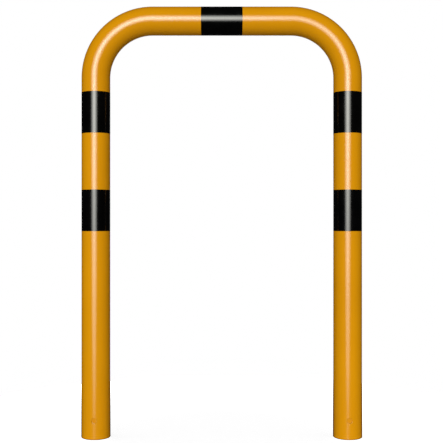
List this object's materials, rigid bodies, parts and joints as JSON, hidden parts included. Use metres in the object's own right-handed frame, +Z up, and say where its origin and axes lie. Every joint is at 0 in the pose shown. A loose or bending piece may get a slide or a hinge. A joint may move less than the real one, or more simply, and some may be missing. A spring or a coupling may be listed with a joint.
{
  "type": "hoop bollard",
  "caption": "Inverted-U hoop guard of bent steel tube, painted orange-yellow with black film bands, whose open legs are cast into the ground and held by rods through anchor holes.",
  "frame": {"origin": "on the ground plane of the two sawn feet, midway between the legs", "axes": "+Z up the legs, X across the hoop from leg to leg, and the front of the hoop, where the anchor holes show, faces -Y"},
  "size_m": [0.7502, 0.0765, 1.1501],
  "materials": {
    "yellow_powder_coat": "glossy orange-yellow powder coat on steel tube",
    "black_film": "glossy black self-adhesive film"
  },
  "bodies": {
    "root": {"hoop_tube": "yellow_powder_coat", "crossbar_band": "black_film", "left_upper_band": "black_film", "left_lower_band": "black_film", "right_upper_band": "black_film", "right_lower_band": "black_film"}
  },
  "joints": []
}
